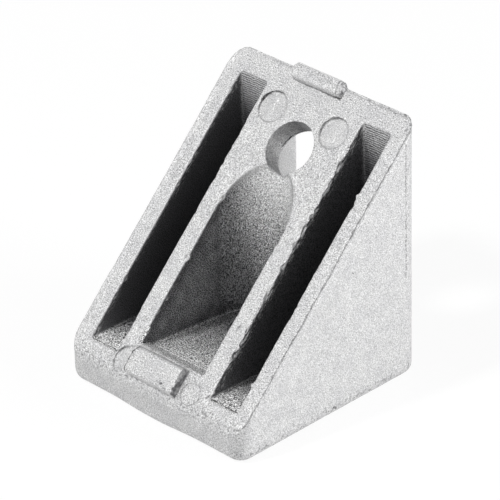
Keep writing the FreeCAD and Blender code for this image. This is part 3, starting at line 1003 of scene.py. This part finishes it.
def blastedCastingMaterial(layers):
    material, tree = newMaterial("blastedAluminiumCasting")
    stored = {name: addNode(tree, "ShaderNodeAttribute", {"attribute_name": name}).outputs["Fac"]
              for name in layers}
    coordinates = addNode(tree, "ShaderNodeTexCoord", {}).outputs["Object"]
    place = addNode(tree, "ShaderNodeMapping", {
        "Vector": coordinates, "Scale": [1 / mm] * 3}).outputs[0]
    noises = {name: addNode(tree, "ShaderNodeTexNoise", {
        "Vector": place, "Scale": 1 / size, "Detail": detail}).outputs["Fac"]
        for name, (size, detail) in finishAndPaintedLight["noises"].items()}
    spans = {name: dict(enumerate(limits, 1)) for name, limits in finishAndPaintedLight["spans"].items()}

    # thin lines: they wander a little, swell and fade
    wander = addNode(tree, "ShaderNodeMapRange", {
        0: noises["wander"], **spans["wander"]}).outputs[0]
    width = addNode(tree, "ShaderNodeMapRange", {
        0: noises["blobs"], **spans["lineWidth"]}).outputs[0]
    strength = addNode(tree, "ShaderNodeMapRange", {
        0: noises["drift"], **spans["lineStrength"]}).outputs[0]
    offLine = addNode(tree, "ShaderNodeMath", {
        "operation": "ADD", 0: stored["line"], 1: wander}).outputs[0]
    offLine = addNode(tree, "ShaderNodeMath", {"operation": "ABSOLUTE", 0: offLine}).outputs[0]
    core = addNode(tree, "ShaderNodeMath", {
        "operation": "MULTIPLY", 0: width, 1: finishAndPaintedLight["lineCore"]}).outputs[0]
    line = addNode(tree, "ShaderNodeMapRange", {
        0: offLine, 1: core, 2: width, 3: strength, 4: 0.0}).outputs[0]
    line = addNode(tree, "ShaderNodeMath", {
        "operation": "MULTIPLY", 0: line, 1: stored["lineDark"]}).outputs[0]
    # the dotted line down the side wall, and the edges' pits
    offDots = addNode(tree, "ShaderNodeMath", {
        "operation": "ADD", 0: stored["sideLine"], 1: wander}).outputs[0]
    offDots = addNode(tree, "ShaderNodeMath", {"operation": "ABSOLUTE", 0: offDots}).outputs[0]
    dotLine = addNode(tree, "ShaderNodeMapRange", {0: offDots, **spans["dotLine"]}).outputs[0]
    dots = addNode(tree, "ShaderNodeMapRange", {0: noises["dots"], **spans["dots"]}).outputs[0]
    dots = addNode(tree, "ShaderNodeMath", {
        "operation": "MULTIPLY", 0: dots, 1: dotLine}).outputs[0]
    pitted = addNode(tree, "ShaderNodeMapRange", {0: noises["pits"], **spans["pits"]}).outputs[0]
    pitted = addNode(tree, "ShaderNodeMath", {
        "operation": "MULTIPLY", 0: pitted, 1: stored["pitted"]}).outputs[0]
    marked = line
    for other in (dots, pitted):
        marked = addNode(tree, "ShaderNodeMath", {
            "operation": "MAXIMUM", 0: marked, 1: other}).outputs[0]

    # fine ridges that the tool left on the narrow pockets' back walls
    drift = addNode(tree, "ShaderNodeMapRange", {
        0: noises["drift"], **spans["ridgeDrift"]}).outputs[0]
    ridge = addNode(tree, "ShaderNodeMath", {
        "operation": "ADD", 0: stored["toolPlace"], 1: drift}).outputs[0]
    ridge = addNode(tree, "ShaderNodeMath", {
        "operation": "MULTIPLY", 0: ridge, 1: 2 * math.pi / finishAndPaintedLight["toolPitch"]}).outputs[0]
    ridge = addNode(tree, "ShaderNodeMath", {"operation": "SINE", 0: ridge}).outputs[0]
    ridge = addNode(tree, "ShaderNodeMath", {
        "operation": "MULTIPLY", 0: ridge, 1: stored["tooled"]}).outputs[0]

    # painted highlights on torn flakes on the walls, just below a pocket's rim
    stretched = addNode(tree, "ShaderNodeMapping", {
        "vector_type": "TEXTURE", "Vector": coordinates,
        "Rotation": (math.atan2(rise, run), 0, 0),
        "Scale": [size * mm for size in finishAndPaintedLight["tornSize"]]}).outputs[0]
    flakes = addNode(tree, "ShaderNodeTexNoise", {
        "Vector": stretched, "Scale": 1.0, "Detail": 1.0}).outputs["Fac"]
    flakes = addNode(tree, "ShaderNodeMapRange", {0: flakes, **spans["flakes"]}).outputs[0]
    flakes = addNode(tree, "ShaderNodeMath", {
        "operation": "MULTIPLY", 0: flakes, 1: stored["torn"]}).outputs[0]

    # colours, one over the other: patches, painted light, painted shade, painted highlights on
    # flakes, then painted shade lines, dots and pits; then the grain's and the ridges' light and
    # dark
    patches = addNode(tree, "ShaderNodeMapRange", {
        0: noises["patches"], **spans["patches"]}).outputs[0]
    colour = linearColour(finishAndPaintedLight["pale"])
    for share, over in ((patches, "patch"), (stored["paintedLight"], "floor"), (stored["dark"], "wall"),
                        (flakes, "floor"), (marked, "line")):
        colour = addNode(tree, "ShaderNodeMix", {
            "data_type": "RGBA", 0: share, 6: colour,
            7: linearColour(finishAndPaintedLight[over])}).outputs[2]
    contrast = addNode(tree, "ShaderNodeMapRange", {
        0: stored["speckle"], **spans["contrast"]}).outputs[0]
    grain = addNode(tree, "ShaderNodeMath", {
        "operation": "SUBTRACT", 0: noises["grain"], 1: 0.5}).outputs[0]
    light = addNode(tree, "ShaderNodeMath", {
        "operation": "MULTIPLY_ADD", 0: grain, 1: contrast, 2: 1.0}).outputs[0]
    light = addNode(tree, "ShaderNodeMath", {
        "operation": "MULTIPLY_ADD", 0: ridge, 1: finishAndPaintedLight["toolTone"], 2: light}).outputs[0]
    light = addNode(tree, "ShaderNodeMath", {
        "operation": "MAXIMUM", 0: light, 1: finishAndPaintedLight["darkest"]}).outputs[0]
    colour = addNode(tree, "ShaderNodeVectorMath", {
        "operation": "SCALE", 0: colour, "Scale": light}).outputs[0]

    height = addNode(tree, "ShaderNodeMapRange", {
        0: stored["speckle"], **spans["relief"]}).outputs[0]
    relief = addNode(tree, "ShaderNodeMath", {
        "operation": "MULTIPLY", 0: noises["grain"], 1: height}).outputs[0]
    relief = addNode(tree, "ShaderNodeMath", {
        "operation": "MULTIPLY_ADD", 0: ridge, 1: finishAndPaintedLight["toolRelief"], 2: relief}).outputs[0]
    bump = addNode(tree, "ShaderNodeBump", {
        "Strength": 1.0, "Distance": finishAndPaintedLight["bump"] * mm, "Height": relief}).outputs[0]
    rough = addNode(tree, "ShaderNodeMapRange", {
        0: stored["dark"], **spans["roughness"]}).outputs[0]
    shader = addNode(tree, "ShaderNodeBsdfPrincipled", {
        "Base Color": colour, "Metallic": finishAndPaintedLight["metallic"], "Roughness": rough,
        "Normal": bump}).outputs[0]
    addNode(tree, "ShaderNodeOutputMaterial", {"Surface": shader})
    return material


castingSkin.data.materials.clear()
castingSkin.data.materials.append(blastedCastingMaterial(layerNames))
print("materials set")
